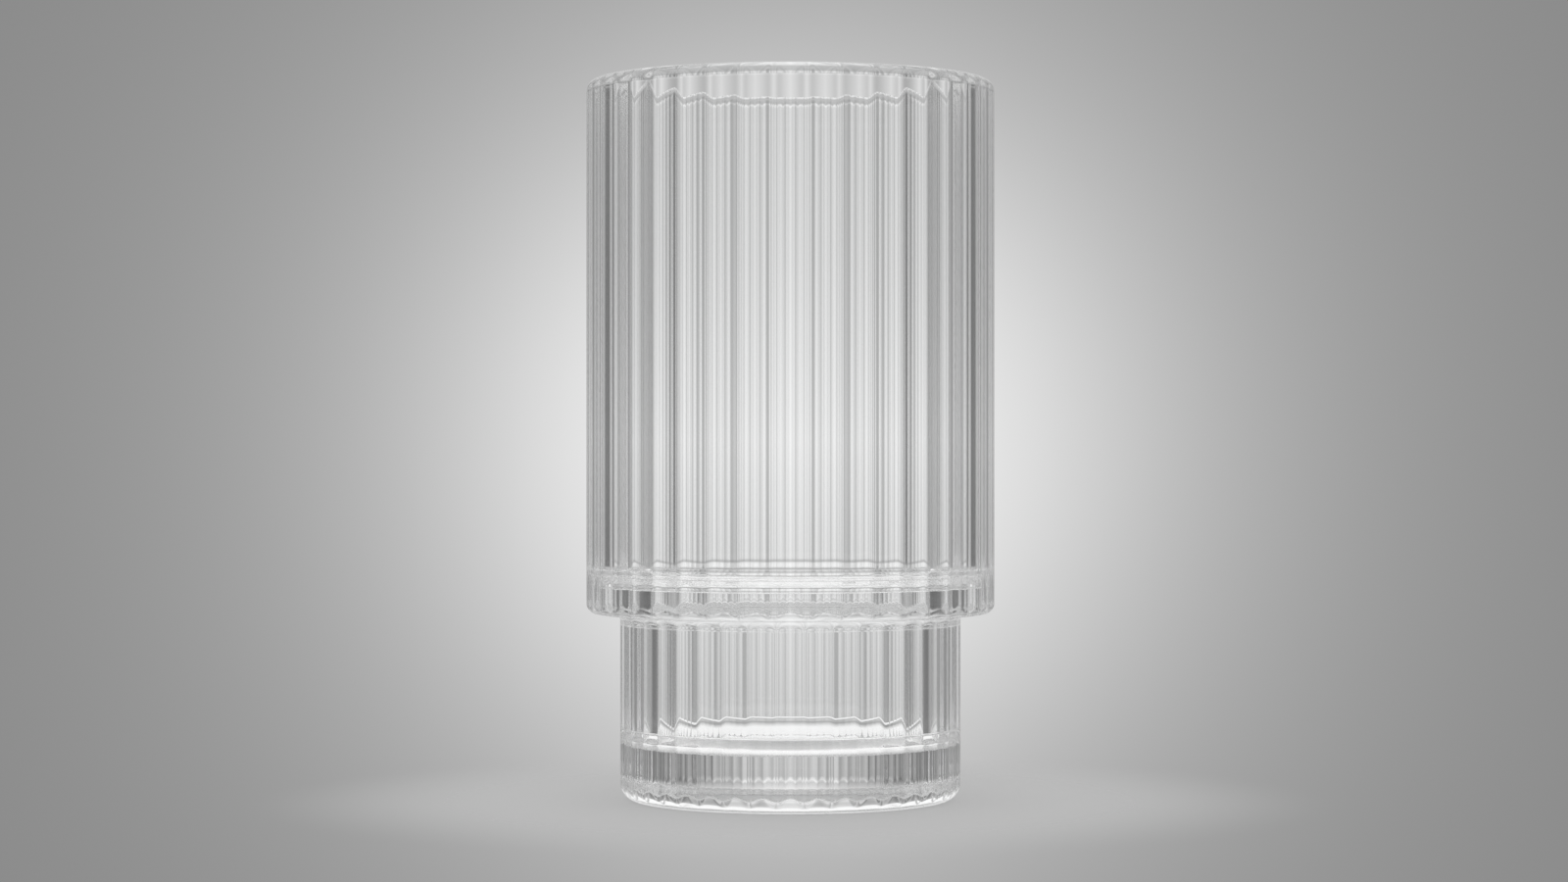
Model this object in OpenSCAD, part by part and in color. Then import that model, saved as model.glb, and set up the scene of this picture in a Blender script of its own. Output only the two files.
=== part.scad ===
/* [Overall size] */
// Height from the foot to the top of the lip
glass_h = 144.2; // [120:0.2:180]
// Diameter of the upper body over its ribs
upper_d = 82; // [80:0.2:96]
// How far the upper body stands out past the narrower lower body
shoulder_w = 6.8; // [6.2:0.1:8]
// Height of the shoulder's underside above the foot
shoulder_z = 37.4; // [28:0.1:60]

/* [Walls] */
// Wall of the upper body, from the top of a rib to the bore
upper_wall_t = 6.4; // [5:0.1:7]
// Wall of the lower body, from the top of a rib to the bore
lower_wall_t = 4.5; // [4:0.1:6]
// Thickness of the glass under the floor of the cavity
floor_t = 10.8; // [6:0.1:18]
// Thickness of the shoulder, from its underside to the ledge inside
ledge_t = 7.4; // [6:0.1:12]

/* [Ribs] */
// Number of ribs round the glass, the same on both bodies
rib_count = 40; // [36:1:44]
// Radius of a rib's rounded face on the upper body
upper_rib_r = 6.5; // [6:0.1:8]
// Radius of the hollow between two ribs on the upper body
upper_groove_r = 3.4; // [1:0.1:4]
// Radius of a rib's rounded face on the lower body
lower_rib_r = 6; // [5:0.1:7]
// Radius of the hollow between two ribs on the lower body
lower_groove_r = 2.4; // [1:0.1:3.4]

/* [Edges] */
// Radius of the lip's outer edge
lip_outer_r = 2.2; // [1.4:0.1:2.4]
// Radius of the lip's inner edge
lip_inner_r = 2.3; // [1:0.1:2.4]
// Radius of the shoulder's lower edge
shoulder_edge_r = 1.9; // [1:0.1:2.4]
// Radius of the hollow corner between the lower body and the shoulder
shoulder_fillet_r = 2.2; // [1:0.1:4]
// Radius of the ledge's inner edge, as far as the ledge has room for it
ledge_edge_r = 2.2; // [1:0.1:4]
// Radius of the hollow corner between the ledge and the upper bore
ledge_fillet_r = 2.4; // [0.3:0.1:3]
// Radius of the hollow corner between the floor and the lower bore
floor_fillet_r = 3.6; // [1:0.1:5]
// Radius of the foot's edge
foot_edge_r = 3.4; // [1:0.1:4]

/* [Hidden] */
$fn = 96;

// Cutters run this far past what they cut
overrun = 1;
// Rounded edges start this far outside the ribs' tops, so that the ribs run out into them
edge_relief = 0.05;
// A hollow goes this much further than a touch, so that it crosses the faces beside it cleanly
hollow_bite = 0.005;
// The glass is colourless
glass_colour = [0.86, 0.88, 0.89];

half_pitch = 180 / rib_count;
upper_r = upper_d / 2;
lower_r = upper_r - shoulder_w;
upper_bore_r = upper_r - upper_wall_t;
lower_bore_r = lower_r - lower_wall_t;
ledge_round_r = min(ledge_edge_r, upper_bore_r - lower_bore_r - ledge_fillet_r);

// Heights where one zone of the glass ends and the next begins
neck_z = shoulder_z - shoulder_fillet_r;
ledge_z = shoulder_z + ledge_t;
bore_z = ledge_z + ledge_fillet_r;
rim_h = upper_wall_t;
rim_z = glass_h - rim_h;

// How far from the axis a hollow's circle stands, just touching the faces on both sides of it
function hollow_axis_r(body_r, rib_r, groove_r) =
  let (face_axis_r = body_r - rib_r)
  let (along = face_axis_r * cos(half_pitch), across = face_axis_r * sin(half_pitch))
  along + sqrt(pow(rib_r + groove_r, 2) - pow(across, 2));

// A point at a distance from the axis, in the direction of an angle
function polar(r, a) = r * [cos(a), sin(a)];

// Cross-section of a ribbed body, with one rib facing the front.
// A web fills each pitch out to the line from a face's centre to the hollow's centre,
// where face and hollow meet.
module ribbed_outline(body_r, rib_r, groove_r) {
  face_axis_r = body_r - rib_r;
  hollow_r = hollow_axis_r(body_r, rib_r, groove_r);
  rotate(-90)
    difference() {
      union() {
        circle(face_axis_r + (hollow_r - groove_r - face_axis_r) / 2);
        for (i = [0 : rib_count - 1])
          rotate(2 * half_pitch * i) {
            translate([face_axis_r, 0]) circle(rib_r);
            polygon([
              [0, 0],
              [face_axis_r, 0],
              polar(hollow_r, half_pitch),
              polar(face_axis_r, 2 * half_pitch)
            ]);
          }
      }
      for (i = [0 : rib_count - 1])
        rotate(half_pitch * (2 * i + 1)) translate([hollow_r, 0]) circle(groove_r + hollow_bite);
    }
}

module upper_outline() ribbed_outline(upper_r, upper_rib_r, upper_groove_r);

module lower_outline() ribbed_outline(lower_r, lower_rib_r, lower_groove_r);

// What a rounding of radius r takes off a square corner that points up and outwards
module corner_waste(r) {
  difference() {
    square(r + overrun);
    circle(r);
  }
}

// Half section of the upper bore from the ledge upwards, with the hollow corner at its foot
module upper_bore_section(h) {
  difference() {
    square([upper_bore_r, h]);
    translate([upper_bore_r - ledge_fillet_r, ledge_fillet_r])
      mirror([0, 1]) corner_waste(ledge_fillet_r);
  }
}

// Half section of the lower bore from the floor upwards, with the hollow corner at its foot
module lower_bore_section(h) {
  difference() {
    square([lower_bore_r, h]);
    translate([lower_bore_r - floor_fillet_r, floor_fillet_r])
      mirror([0, 1]) corner_waste(floor_fillet_r);
  }
}

// Drinking edge: rounded outside and inside, with the ribs running out into the outer rounding
module rim() color(glass_colour) {
  outer_r = upper_r + edge_relief;
  translate([0, 0, rim_z])
    intersection() {
      linear_extrude(rim_h) upper_outline();
      rotate_extrude()
        difference() {
          translate([upper_bore_r, 0]) square([outer_r - upper_bore_r, rim_h]);
          translate([outer_r - lip_outer_r, rim_h - lip_outer_r]) corner_waste(lip_outer_r);
          translate([upper_bore_r + lip_inner_r, rim_h - lip_inner_r])
            mirror([1, 0]) corner_waste(lip_inner_r);
        }
    }
}

// Straight ribbed wall with a smooth bore
module upper_wall() color(glass_colour) {
  translate([0, 0, bore_z])
    linear_extrude(rim_z - bore_z)
      difference() {
        upper_outline();
        circle(upper_bore_r);
      }
}

// Step between the two bodies: an overhang outside and a ledge inside.
// The lower body's grooves fade out in the hollow corner under the overhang.
module shoulder() color(glass_colour) {
  outer_r = upper_r + edge_relief;
  overhang_h = bore_z - shoulder_z;
  groove_floor_r = hollow_axis_r(lower_r, lower_rib_r, lower_groove_r) - lower_groove_r;
  fillet_axis_r = groove_floor_r - edge_relief + shoulder_fillet_r;
  difference() {
    union() {
      translate([0, 0, neck_z]) {
        linear_extrude(shoulder_fillet_r + overrun) lower_outline();
        rotate_extrude()
          difference() {
            square([fillet_axis_r, shoulder_fillet_r + overrun]);
            translate([fillet_axis_r, hollow_bite]) circle(shoulder_fillet_r);
          }
      }
      translate([0, 0, shoulder_z])
        intersection() {
          linear_extrude(overhang_h) upper_outline();
          rotate_extrude()
            difference() {
              square([outer_r, overhang_h]);
              translate([outer_r - shoulder_edge_r, shoulder_edge_r])
                mirror([0, 1]) corner_waste(shoulder_edge_r);
            }
        }
    }
    translate([0, 0, ledge_z])
      rotate_extrude() {
        upper_bore_section(ledge_fillet_r + overrun);
        translate([0, neck_z - ledge_z - overrun]) square([lower_bore_r, ledge_z - neck_z + 2 * overrun]);
        difference() {
          translate([0, -ledge_round_r]) square([lower_bore_r + ledge_round_r, ledge_round_r + overrun]);
          translate([lower_bore_r + ledge_round_r, -ledge_round_r]) circle(ledge_round_r);
        }
      }
  }
}

// Straight ribbed wall of the narrow body, with the hollow corner of the floor at its foot
module lower_wall() color(glass_colour) {
  wall_h = neck_z - floor_t;
  translate([0, 0, floor_t])
    difference() {
      linear_extrude(wall_h) lower_outline();
      rotate_extrude() lower_bore_section(wall_h + overrun);
    }
}

// Solid foot with a flat underside and a rounded edge
module base() color(glass_colour) {
  outer_r = lower_r + edge_relief;
  intersection() {
    linear_extrude(floor_t) lower_outline();
    rotate_extrude()
      difference() {
        square([outer_r, floor_t]);
        translate([outer_r - foot_edge_r, foot_edge_r])
          mirror([0, 1]) corner_waste(foot_edge_r);
      }
  }
}

rim();
upper_wall();
shoulder();
lower_wall();
base();
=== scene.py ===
import math

import bpy
import numpy as np
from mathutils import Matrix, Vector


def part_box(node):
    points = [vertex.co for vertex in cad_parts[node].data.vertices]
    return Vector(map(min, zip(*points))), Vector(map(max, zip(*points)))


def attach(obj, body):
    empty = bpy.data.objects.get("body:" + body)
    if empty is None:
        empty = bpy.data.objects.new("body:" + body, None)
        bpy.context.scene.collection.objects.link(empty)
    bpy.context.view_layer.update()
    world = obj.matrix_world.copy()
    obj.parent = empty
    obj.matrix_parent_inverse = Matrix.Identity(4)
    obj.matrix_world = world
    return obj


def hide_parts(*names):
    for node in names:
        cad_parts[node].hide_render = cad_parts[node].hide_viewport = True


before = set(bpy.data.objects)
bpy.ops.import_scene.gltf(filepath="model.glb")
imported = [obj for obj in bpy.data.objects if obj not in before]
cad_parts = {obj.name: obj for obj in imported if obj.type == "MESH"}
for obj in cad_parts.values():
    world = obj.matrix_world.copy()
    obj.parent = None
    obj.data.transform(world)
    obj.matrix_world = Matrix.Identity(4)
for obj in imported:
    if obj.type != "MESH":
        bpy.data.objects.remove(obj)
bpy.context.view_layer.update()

MM = 0.001
DEGREE = math.radians(1)
WHITE = (1, 1, 1, 1)

# Heights and radii that the CAD solids give
rim_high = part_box("rim")[1]
base_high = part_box("base")[1]
shoulder_low, shoulder_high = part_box("shoulder")
GLASS_H = rim_high.z
UPPER_R = rim_high.y
LOWER_R = base_high.y
FLOOR_Z = base_high.z
NECK_Z = shoulder_low.z
BORE_Z = shoulder_high.z

# Ribs, as in the CAD outline
RIB_COUNT = 40
HALF_PITCH = math.pi / RIB_COUNT
UPPER_RIB_R = 6.5 * MM
UPPER_GROOVE_R = 3.4 * MM
LOWER_RIB_R = 6.0 * MM
LOWER_GROOVE_R = 2.4 * MM

# Walls and edges
UPPER_WALL = 6.4 * MM
LOWER_WALL = 4.5 * MM
UPPER_BORE_R = UPPER_R - UPPER_WALL
LOWER_BORE_R = LOWER_R - LOWER_WALL
LIP_OUTER_R = 2.2 * MM
LIP_INNER_R = 2.3 * MM
SHOULDER_EDGE_R = 1.9 * MM
NECK_R = 2.2 * MM
LEDGE_EDGE_R = 2.2 * MM
LEDGE_FILLET_R = 2.4 * MM
FLOOR_FILLET_R = 3.6 * MM
FOOT_EDGE_R = 3.4 * MM
SHOULDER_Z = NECK_Z + NECK_R
LEDGE_Z = BORE_Z - LEDGE_FILLET_R
# The hollow under the overhang starts this little inside the grooves
EDGE_RELIEF = 0.05 * MM

# Fineness of the mesh
STEPS_PER_RIB = 20
ARC_STEPS = 11
# Rows this close to the end of a straight run keep its shading flat, but at most this share of it
HOLD = 0.1 * MM
HOLD_SHARE = 0.25
# Width over which a rib runs out into a rounded edge
RUN_OUT = 0.6 * MM


def groove_axis_r(body_r, rib_r, groove_r):
    """How far from the axis a groove's circle stands."""
    face_axis_r = body_r - rib_r
    along = face_axis_r * math.cos(HALF_PITCH)
    across = face_axis_r * math.sin(HALF_PITCH)
    return along + math.sqrt((rib_r + groove_r) ** 2 - across ** 2)


def ribbed_radius(angles, body_r, rib_r, groove_r):
    """Radius of a ribbed body at each angle, with a rib in the middle of the first pitch."""
    off_rib = np.abs((angles + HALF_PITCH) % (2 * HALF_PITCH) - HALF_PITCH)
    off_groove = HALF_PITCH - off_rib
    face_axis_r = body_r - rib_r
    axis_r = groove_axis_r(body_r, rib_r, groove_r)
    # The two arcs meet on the line between their centres
    share = rib_r / (rib_r + groove_r)
    meet_x = face_axis_r + share * (axis_r * math.cos(HALF_PITCH) - face_axis_r)
    meet_y = share * axis_r * math.sin(HALF_PITCH)
    rib = face_axis_r * np.cos(off_rib) + np.sqrt(rib_r ** 2 - (face_axis_r * np.sin(off_rib)) ** 2)
    under_root = np.maximum(groove_r ** 2 - (axis_r * np.sin(off_groove)) ** 2, 0)
    groove = axis_r * np.cos(off_groove) - np.sqrt(under_root)
    return np.where(off_rib < math.atan2(meet_y, meet_x), rib, groove)


def line(start, end):
    """Points of a straight run, with a holding row near each end."""
    start, end = np.array(start), np.array(end)
    hold = min(HOLD / np.hypot(*(end - start)), HOLD_SHARE)
    shares = np.array([0, hold, 1 - hold, 1])
    return start + shares[:, None] * (end - start)


def arc(centre, radius, start, end):
    """Points of an arc in the half section, from one angle in degrees to another."""
    angles = np.radians(np.linspace(start, end, ARC_STEPS + 1))
    return np.array(centre) + radius * np.stack([np.cos(angles), np.sin(angles)], 1)


def half_section():
    """Outline of the glass from the foot's centre round to the floor's centre, as (name, points)."""
    neck_r = groove_axis_r(LOWER_R, LOWER_RIB_R, LOWER_GROOVE_R) - LOWER_GROOVE_R - EDGE_RELIEF
    foot_r = LOWER_R - FOOT_EDGE_R
    edge_r = UPPER_R - SHOULDER_EDGE_R
    lip_r = UPPER_R - LIP_OUTER_R
    lip_bore_r = UPPER_BORE_R + LIP_INNER_R
    ledge_outer_r = UPPER_BORE_R - LEDGE_FILLET_R
    ledge_inner_r = LOWER_BORE_R + LEDGE_EDGE_R
    floor_r = LOWER_BORE_R - FLOOR_FILLET_R
    edge_z = SHOULDER_Z + SHOULDER_EDGE_R
    lip_z = GLASS_H - LIP_OUTER_R
    lip_bore_z = GLASS_H - LIP_INNER_R
    ledge_edge_z = LEDGE_Z - LEDGE_EDGE_R
    floor_fillet_z = FLOOR_Z + FLOOR_FILLET_R
    return [
        ("foot", line((0, 0), (foot_r, 0))),
        ("lower ribs cut", arc((foot_r, FOOT_EDGE_R), FOOT_EDGE_R, -90, 0)),
        ("lower ribs", line((LOWER_R, FOOT_EDGE_R), (LOWER_R, NECK_Z))),
        ("lower ribs filled", arc((neck_r + NECK_R, NECK_Z), NECK_R, 180, 90)),
        ("smooth", line((neck_r + NECK_R, SHOULDER_Z), (edge_r, SHOULDER_Z))),
        ("upper ribs cut", arc((edge_r, edge_z), SHOULDER_EDGE_R, -90, 0)),
        ("upper ribs", line((UPPER_R, edge_z), (UPPER_R, lip_z))),
        ("upper ribs cut", arc((lip_r, lip_z), LIP_OUTER_R, 0, 90)),
        ("smooth", line((lip_r, GLASS_H), (lip_bore_r, GLASS_H))),
        ("smooth", arc((lip_bore_r, lip_bore_z), LIP_INNER_R, 90, 180)),
        ("smooth", line((UPPER_BORE_R, lip_bore_z), (UPPER_BORE_R, BORE_Z))),
        ("smooth", arc((ledge_outer_r, BORE_Z), LEDGE_FILLET_R, 0, -90)),
        ("smooth", line((ledge_outer_r, LEDGE_Z), (ledge_inner_r, LEDGE_Z))),
        ("smooth", arc((ledge_inner_r, ledge_edge_z), LEDGE_EDGE_R, 90, 180)),
        ("smooth", line((LOWER_BORE_R, ledge_edge_z), (LOWER_BORE_R, floor_fillet_z))),
        ("smooth", arc((floor_r, floor_fillet_z), FLOOR_FILLET_R, 0, -90)),
        ("smooth", line((floor_r, FLOOR_Z), (0, FLOOR_Z))),
    ]


def ring_radii(name, r, ribs):
    """Radius of one ring of the mesh at every angle, where the half section has radius r there."""
    body = ribs["lower" if "lower" in name else "upper"]
    if name.endswith("ribs"):
        return body
    if name.endswith("cut"):
        ease = min(RUN_OUT, body.max() - r)
        return (r + body - np.hypot(r - body, ease)) / 2
    if name.endswith("filled"):
        ease = min(RUN_OUT, r - body.min())
        return (r + body + np.hypot(r - body, ease)) / 2
    return np.full_like(body, r)


def glass_mesh():
    """The whole glass as one closed skin, ring by ring from the foot's centre to the floor's centre."""
    count = RIB_COUNT * STEPS_PER_RIB
    # One rib faces the front
    angles = np.arange(count) * (2 * math.pi / count)
    ribs = {
        "upper": ribbed_radius(angles, UPPER_R, UPPER_RIB_R, UPPER_GROOVE_R),
        "lower": ribbed_radius(angles, LOWER_R, LOWER_RIB_R, LOWER_GROOVE_R),
    }
    turned = angles - math.pi / 2
    rings = []
    for name, points in half_section():
        for r, z in points:
            if rings and rings[-1][0] == (r, z):
                continue
            rings.append(((r, z), ring_radii(name, r, ribs)))
    tips = [(0, 0, rings[0][0][1]), (0, 0, rings[-1][0][1])]
    rings = rings[1:-1]
    verts = []
    for (r, z), radii in rings:
        verts.extend(zip(radii * np.cos(turned), radii * np.sin(turned), np.full(count, z)))
    foot_tip, floor_tip = len(verts), len(verts) + 1
    verts.extend(tips)
    faces = []
    last = (len(rings) - 1) * count
    for i in range(count):
        j = (i + 1) % count
        faces.append((foot_tip, j, i))
        faces.append((floor_tip, last + i, last + j))
        for start in range(0, last, count):
            faces.append((start + i, start + j, start + count + j, start + count + i))
    mesh = bpy.data.meshes.new("glass")
    mesh.from_pydata([tuple(map(float, v)) for v in verts], [], faces)
    mesh.shade_smooth()
    mesh.validate()
    return mesh


class Nodes:
    """A node tree, with short calls to add a node and join it to others."""

    def __init__(self, owner):
        owner.use_nodes = True
        self.tree = owner.node_tree
        self.tree.nodes.clear()

    def add(self, kind, inputs=None, **settings):
        node = self.tree.nodes.new(kind)
        for name, value in settings.items():
            setattr(node, name, value)
        for key, value in (inputs or {}).items():
            self.put(node.inputs[key], value)
        return node

    def put(self, socket, value):
        if isinstance(value, bpy.types.NodeSocket):
            self.tree.links.new(value, socket)
        else:
            socket.default_value = value

    def maths(self, operation, *values):
        return self.add("ShaderNodeMath", dict(enumerate(values)), operation=operation).outputs[0]

    def between(self, value, start, end, reach=1.0, smooth=False):
        """0 up to the start, reach from the end on, and even or smooth between. End may be below start."""
        inputs = {"Value": value, "From Min": start, "From Max": end, "To Max": reach}
        kind = "SMOOTHSTEP" if smooth else "LINEAR"
        return self.add("ShaderNodeMapRange", inputs, interpolation_type=kind).outputs["Result"]

    def blend(self, share, first, second):
        """One number or another, by a share."""
        return self.add("ShaderNodeMix", {0: share, 2: first, 3: second}).outputs[0]

    def ramp(self, value, stops, unit=DEGREE):
        """Brightness that follows a value through stops, whose places are in the unit."""
        first, last = stops[0][0], stops[-1][0]
        share = self.between(value, first * unit, last * unit)
        node = self.add("ShaderNodeValToRGB", {"Fac": share})
        elements = node.color_ramp.elements
        while len(elements) < len(stops):
            elements.new(0.5)
        for element, (place, brightness) in zip(elements, stops):
            element.position = (place - first) / (last - first)
            element.color = (brightness, brightness, brightness, 1)
        return node.outputs["Color"]

    def rays(self):
        """Whether a ray comes straight from the camera, and whether the glass has turned it."""
        path = self.add("ShaderNodeLightPath").outputs
        in_glass = self.maths("MAXIMUM", path["Is Glossy Ray"], path["Is Transmission Ray"])
        return path["Is Camera Ray"], in_glass


# The standing face, up to this height, is matt
MATT_BELOW = 0.02 * MM
MATT = 0.5
GLASS_IOR = 1.505
# Faint waves left by the mould, about this many to the metre, and what they do to tint, gloss and surface
WAVES = 60.0
WAVE_DETAIL = 2.0
TINT = (0.985, 0.99, 0.99, 1)
ROUGHEST = 0.012
BUMP_STRENGTH = 0.02
BUMP_HEIGHT = 0.2 * MM


def glass_material():
    """Clear pressed glass, with the faint unevenness that the mould leaves and a matt standing face."""
    material = bpy.data.materials.new("clear_glass")
    nodes = Nodes(material)
    place = nodes.add("ShaderNodeTexCoord").outputs["Object"]
    noise = {"Vector": place, "Scale": WAVES, "Detail": WAVE_DETAIL}
    waves = nodes.add("ShaderNodeTexNoise", noise).outputs["Fac"]
    tint = nodes.add("ShaderNodeMix", {"Factor": waves, 6: TINT, 7: WHITE}, data_type="RGBA")
    polish = nodes.between(waves, 0.0, 1.0, ROUGHEST)
    height = nodes.add("ShaderNodeSeparateXYZ", {0: place}).outputs[2]
    standing = nodes.maths("LESS_THAN", height, MATT_BELOW)
    relief = {"Height": waves, "Strength": BUMP_STRENGTH, "Distance": BUMP_HEIGHT}
    shader = nodes.add("ShaderNodeBsdfPrincipled", {
        "Base Color": tint.outputs[2],
        "Roughness": nodes.blend(standing, polish, MATT),
        "Normal": nodes.add("ShaderNodeBump", relief).outputs["Normal"],
        "IOR": GLASS_IOR,
        "Transmission Weight": 1.0,
    })
    nodes.add("ShaderNodeOutputMaterial", {"Surface": shader.outputs[0]})
    return material


def make_glass():
    glass = bpy.data.objects.new("ribbed_glass", glass_mesh())
    bpy.context.scene.collection.objects.link(glass)
    glass.data.materials.append(glass_material())
    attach(glass, "root")
    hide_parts("rim", "upper_wall", "shoulder", "lower_wall", "base")


# Camera: level, on the glass's axis
CAMERA_DISTANCE = 0.745
CAMERA_HEIGHT = 0.0719
PHOTO_WIDTH = 1600
# The glass's axis stands this many pixels right of the photograph's middle
AXIS_PIXELS = 6.5
# The upper body's half width in pixels, which sets the lens
HALF_WIDTH_PIXELS = 208.5


def make_camera():
    data = bpy.data.cameras.new("camera")
    edge = math.sqrt(CAMERA_DISTANCE ** 2 - UPPER_R ** 2) / UPPER_R
    data.lens = HALF_WIDTH_PIXELS * edge * data.sensor_width / PHOTO_WIDTH
    data.shift_x = -AXIS_PIXELS / PHOTO_WIDTH
    camera = bpy.data.objects.new("camera", data)
    camera.location = (0, -CAMERA_DISTANCE, CAMERA_HEIGHT)
    camera.rotation_euler = (math.pi / 2, 0, 0)
    bpy.context.scene.collection.objects.link(camera)
    bpy.context.scene.camera = camera


# Backdrop that the camera sees: a pool of light that falls off round the point behind the glass
POOL_BRIGHT = 0.88
POOL_EDGE = 0.219
POOL_SPREAD = 5.5 * DEGREE
POOL_POWER = 2.9
# A pool stands behind the glass for this many viewing directions round it
POOL_SIDES = 8
# Below this angle the camera sees the plain floor colour
FLOOR_EDGE = -8 * DEGREE
FLOOR_BLEND = 4 * DEGREE
FLOOR_SHADE = 0.5

# Studio that shows in the glass: brightness against the angle above the horizon, in degrees
UPRIGHT = [
    (-90, 0.6), (-6, 0.54), (-3, 0.78), (0, 0.95), (3, 0.8),
    (8, 0.67), (30, 0.98), (45, 0.5), (90, 0.5),
]
# The same against the angle from the nearest of the four bright walls, with dark corners between
AROUND = [(0, 1.0), (8, 0.78), (16, 0.54), (25, 0.45), (28, 0.15), (38, 0.25), (45, 0.42)]
WALLS = 4
# The corners' darkness fades out between these angles above the horizon, and between these below it
CORNER_FADE_UP = (2 * DEGREE, 61 * DEGREE)
CORNER_FADE_DOWN = (-2 * DEGREE, -23 * DEGREE)
# Even light on everything else
SOFT_LIGHT = 0.8


def make_world():
    world = bpy.data.worlds.new("studio")
    bpy.context.scene.world = world
    nodes = Nodes(world)
    from_camera, in_glass = nodes.rays()
    way = nodes.add("ShaderNodeSeparateXYZ", {0: nodes.add("ShaderNodeTexCoord").outputs["Generated"]})
    azimuth = nodes.maths("ARCTAN2", way.outputs[0], way.outputs[1])
    elevation = nodes.maths("ARCSINE", way.outputs[2])

    off_pool = nodes.maths("PINGPONG", azimuth, math.pi / POOL_SIDES)
    steepness = nodes.maths("ABSOLUTE", elevation)
    square = nodes.maths("ADD", nodes.maths("POWER", off_pool, 2.0), nodes.maths("POWER", steepness, 2.0))
    spread = nodes.maths("DIVIDE", nodes.maths("SQRT", square), POOL_SPREAD)
    fall = nodes.maths("ADD", nodes.maths("POWER", spread, POOL_POWER), 1.0)
    pool = nodes.maths("ADD", nodes.maths("DIVIDE", POOL_BRIGHT - POOL_EDGE, fall), POOL_EDGE)
    over_floor = nodes.between(elevation, FLOOR_EDGE - FLOOR_BLEND, FLOOR_EDGE, smooth=True)
    backdrop = nodes.blend(over_floor, FLOOR_SHADE, pool)

    off_wall = nodes.maths("PINGPONG", azimuth, math.pi / WALLS)
    fades = (nodes.between(elevation, *angles) for angles in (CORNER_FADE_UP, CORNER_FADE_DOWN))
    around = nodes.blend(nodes.maths("ADD", *fades), nodes.ramp(off_wall, AROUND), 1.0)
    studio = nodes.maths("MULTIPLY", nodes.ramp(elevation, UPRIGHT), around)

    plain = nodes.blend(from_camera, SOFT_LIGHT, backdrop)
    strength = nodes.blend(in_glass, plain, studio)
    light = nodes.add("ShaderNodeBackground", {"Color": WHITE, "Strength": strength})
    nodes.add("ShaderNodeOutputWorld", {"Surface": light.outputs[0]})


# Floor under the glass. The camera sees it near the foot, and fading out into the backdrop
SEEN_SOLID_R = 45 * MM
SEEN_R = 110 * MM
FLOOR_DROP = 0.1 * MM
# How much of that floor's brightness is its own, the rest being the light that falls on it
FLOOR_GLOW = 0.38
FLOOR_COLOUR = 0.15
# The glass shows a wider floor that glows with a painted pool of light, which fades into the studio
# between these distances
LIT_SOLID_R = 330 * MM
LIT_R = 420 * MM
# Its painted brightness against the distance from the glass's axis, in millimetres: dim under the glass as
# the glass's painted shadow, with a darker ring near 90 mm
PAINTED_POOL_LIGHT = [(0, 0.2), (28, 1.0), (60, 1.0), (90, 0.4), (130, 1.0), (200, 1.0), (420, 0.5)]
# The corners' painted shade on the floor's glow, like the studio's dark corners, grows between these
# distances, as far as this share
PAINTED_CORNER_SHADE_REACH = (60 * MM, 115 * MM)
PAINTED_CORNER_SHADE_SHARE = 0.74
# A view's flatness is 0 from straight above and 1 level with the floor. At the first of these and over
# it the floor's painted glow turns see-through and gives way to the studio, and up to the second it shows
# in full
GLOW_GIVES_WAY = (0.9, 0.8)
# Blend at which Layer Weight gives that flatness
EVEN_BLEND = 0.5
FLOOR_SIDES = 96


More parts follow.
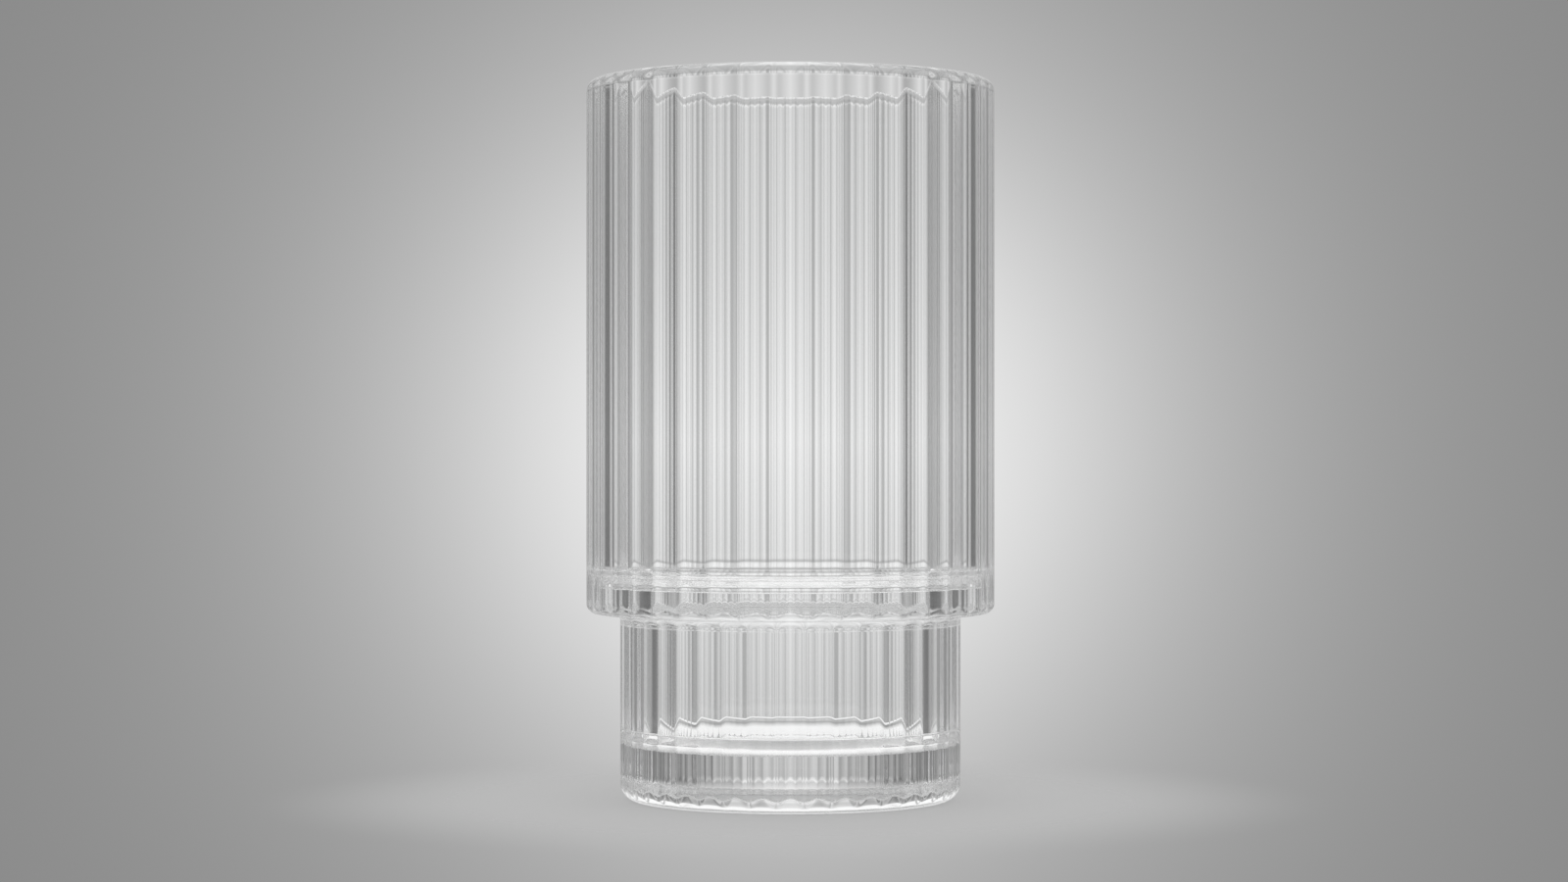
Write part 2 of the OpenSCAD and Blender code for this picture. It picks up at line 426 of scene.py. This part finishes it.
def floor_material():
    material = bpy.data.materials.new("pale_floor")
    nodes = Nodes(material)
    from_camera, in_glass = nodes.rays()
    place = nodes.add("ShaderNodeTexCoord").outputs["Object"]
    reach = nodes.add("ShaderNodeVectorMath", {0: place}, operation="LENGTH").outputs["Value"]
    solid = nodes.between(reach, SEEN_R, SEEN_SOLID_R, smooth=True)
    seen = nodes.maths("MULTIPLY", solid, from_camera)
    matt = nodes.add("ShaderNodeBsdfDiffuse", {"Color": (FLOOR_COLOUR, FLOOR_COLOUR, FLOOR_COLOUR, 1)})
    glow = nodes.add("ShaderNodeEmission", {"Color": WHITE, "Strength": FLOOR_GLOW})
    both = nodes.add("ShaderNodeAddShader", {0: matt.outputs[0], 1: glow.outputs[0]})
    clear = nodes.add("ShaderNodeBsdfTransparent")
    outer = nodes.add("ShaderNodeMixShader", {0: seen, 1: clear.outputs[0], 2: both.outputs[0]})

    # What the glass sees of the floor is painted light: a glowing pool, dim under the glass as painted
    # shadow
    spot = nodes.add("ShaderNodeSeparateXYZ", {0: place})
    azimuth = nodes.maths("ARCTAN2", spot.outputs[0], spot.outputs[1])
    off_wall = nodes.maths("PINGPONG", azimuth, math.pi / WALLS)
    # Painted shade towards the corners, like the studio's dark corners
    corner_shade = nodes.between(reach, *PAINTED_CORNER_SHADE_REACH, PAINTED_CORNER_SHADE_SHARE)
    around = nodes.blend(corner_shade, 1.0, nodes.ramp(off_wall, AROUND))
    painted_pool_glow = nodes.maths("MULTIPLY", nodes.ramp(reach, PAINTED_POOL_LIGHT, MM), around)
    pool = nodes.add("ShaderNodeEmission", {"Color": WHITE, "Strength": painted_pool_glow})
    flatness = nodes.add("ShaderNodeLayerWeight", {"Blend": EVEN_BLEND}).outputs["Facing"]
    near = nodes.between(reach, LIT_R, LIT_SOLID_R, smooth=True)
    # At flat views the floor's painted glow gives way, and the glass sees through the floor to the studio
    glow_kept = nodes.between(flatness, *GLOW_GIVES_WAY, smooth=True)
    shown = nodes.maths("MULTIPLY", nodes.maths("MULTIPLY", near, glow_kept), in_glass)
    mixed = nodes.add("ShaderNodeMixShader", {0: shown, 1: outer.outputs[0], 2: pool.outputs[0]})
    nodes.add("ShaderNodeOutputMaterial", {"Surface": mixed.outputs[0]})
    return material


def make_floor():
    bpy.ops.mesh.primitive_circle_add(
        vertices=FLOOR_SIDES, radius=LIT_R, fill_type="NGON", location=(0, 0, 0),
    )
    floor = bpy.context.object
    floor.name = "floor"
    for vert in floor.data.vertices:
        vert.co.z = -FLOOR_DROP
    floor.data.materials.append(floor_material())


# One wide soft lamp overhead, in metres and watts, which doesn't show in the glass
LAMP_SIZE = 0.8
LAMP_POWER = 1.5
LAMP_HEIGHT = 1.0


def make_lamp():
    data = bpy.data.lights.new("overhead", "AREA")
    data.shape = "SQUARE"
    data.size = LAMP_SIZE
    data.energy = LAMP_POWER
    lamp = bpy.data.objects.new("overhead", data)
    lamp.location = (0, 0, LAMP_HEIGHT)
    lamp.visible_glossy = False
    lamp.visible_transmission = False
    bpy.context.scene.collection.objects.link(lamp)


# Light passes and turns many times inside thick ribbed glass
LIGHT_BOUNCES = 32

make_camera()
make_glass()
make_world()
make_floor()
make_lamp()
bpy.context.scene.view_settings.view_transform = "Standard"
cycles = bpy.context.scene.cycles
cycles.max_bounces = cycles.glossy_bounces = cycles.transmission_bounces = LIGHT_BOUNCES
